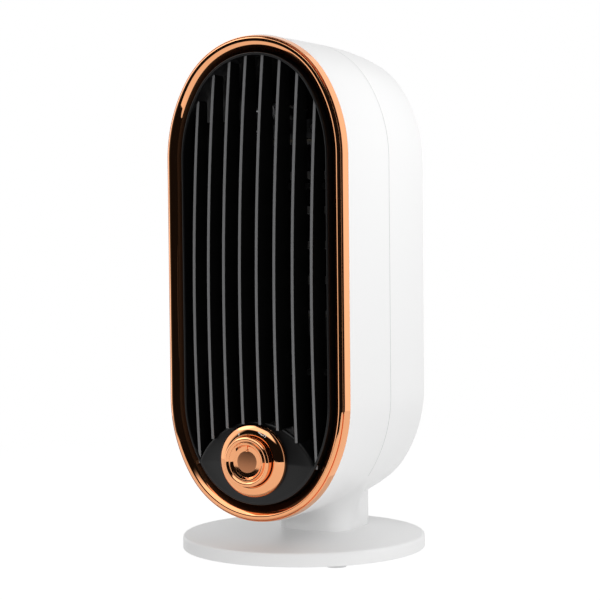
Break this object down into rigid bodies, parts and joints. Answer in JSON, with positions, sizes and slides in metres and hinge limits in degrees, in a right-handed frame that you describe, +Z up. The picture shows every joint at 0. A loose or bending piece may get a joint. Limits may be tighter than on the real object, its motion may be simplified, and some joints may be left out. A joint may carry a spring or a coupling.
{
  "type": "ceramic space heater",
  "caption": "Upright desktop ceramic fan heater: oval two-shell casing on a round base, polished ring round a bladed grille, rotary knob below.",
  "frame": {"origin": "on the surface it stands on, under the middle of the round base", "axes": "+Z up, -Y towards the front (grille and knob), +X to the right as the viewer faces the front"},
  "size_m": [0.124, 0.124, 0.259],
  "materials": {
    "white_plastic": "satin moulded",
    "copper_chrome": "rose-copper plated, polished",
    "black_gloss": "gloss moulded",
    "black_plastic": "moulded",
    "light_marks": "printed",
    "pale_rubber": "matt",
    "zinc_steel": "zinc plated",
    "weight_steel": "painted",
    "spring_steel": "drawn",
    "aluminium": "rolled",
    "ceramic": "fired ceramic",
    "mica": "pressed sheet",
    "brass": "stamped",
    "amber_plastic": "phenolic",
    "grey_plastic": "moulded",
    "fan_plastic": "moulded",
    "bronze": "sintered",
    "magnet": "ferrite"
  },
  "bodies": {
    "root": {"base_cover": "white_plastic", "base_weight": "weight_steel", "base_plate": "white_plastic", "rubber_feet": "pale_rubber", "base_screws": "zinc_steel", "neck_screws": "zinc_steel", "front_shell": "white_plastic", "rear_shell": "white_plastic", "shell_screws": "zinc_steel", "bezel_ring": "copper_chrome", "front_panel": "black_gloss", "grille_blades": "black_gloss", "knob_collar": "copper_chrome", "dial_marks": "light_marks", "switch_body": "amber_plastic", "switch_nut": "zinc_steel", "switch_terminals": "brass", "tip_switch_body": "black_plastic", "tip_switch_terminals": "brass", "tip_spring": "spring_steel", "heater_frame": "grey_plastic", "heater_screws": "zinc_steel", "electrode_plates": "aluminium", "mica_sheets": "mica", "ceramic_bars": "ceramic", "radiator_fins": "aluminium", "thermal_cutout": "black_plastic", "thermal_fuse": "zinc_steel", "fan_duct": "black_plastic", "motor_bracket": "zinc_steel", "motor_screws": "zinc_steel", "motor_can": "zinc_steel", "motor_end_cap": "grey_plastic", "motor_bushes": "bronze", "motor_magnets": "magnet", "dust_filter": "black_plastic", "cable_gland": "black_plastic", "gland_nut": "black_plastic", "terminal_block": "grey_plastic"},
    "knob": {"knob_cap": "copper_chrome", "knob_face": "copper_chrome", "knob_pointer": "light_marks", "switch_shaft": "zinc_steel"},
    "fan": {"fan_impeller": "fan_plastic", "fan_shaft": "zinc_steel", "fan_clip": "spring_steel", "motor_rotor": "magnet"},
    "plunger": {"tip_plunger": "grey_plastic"}
  },
  "joints": [
    {"name": "knob_turn", "type": "hinge", "parent": "root", "child": "knob", "pos_m": [0, -0.058, 0.0523], "axis": [0, 1, 0], "range_deg": [-135, 135]},
    {"name": "fan_spin", "type": "hinge", "parent": "root", "child": "fan", "pos_m": [0, 0, 0.165], "axis": [0, 1, 0], "continuous": true},
    {"name": "tip_slide", "type": "slide", "parent": "root", "child": "plunger", "axis": [0, 0, 1], "range_m": [-0.003, 0], "stiffness_N_per_m": 30, "springref_m": -0.008, "deforming": ["tip_spring"]}
  ]
}
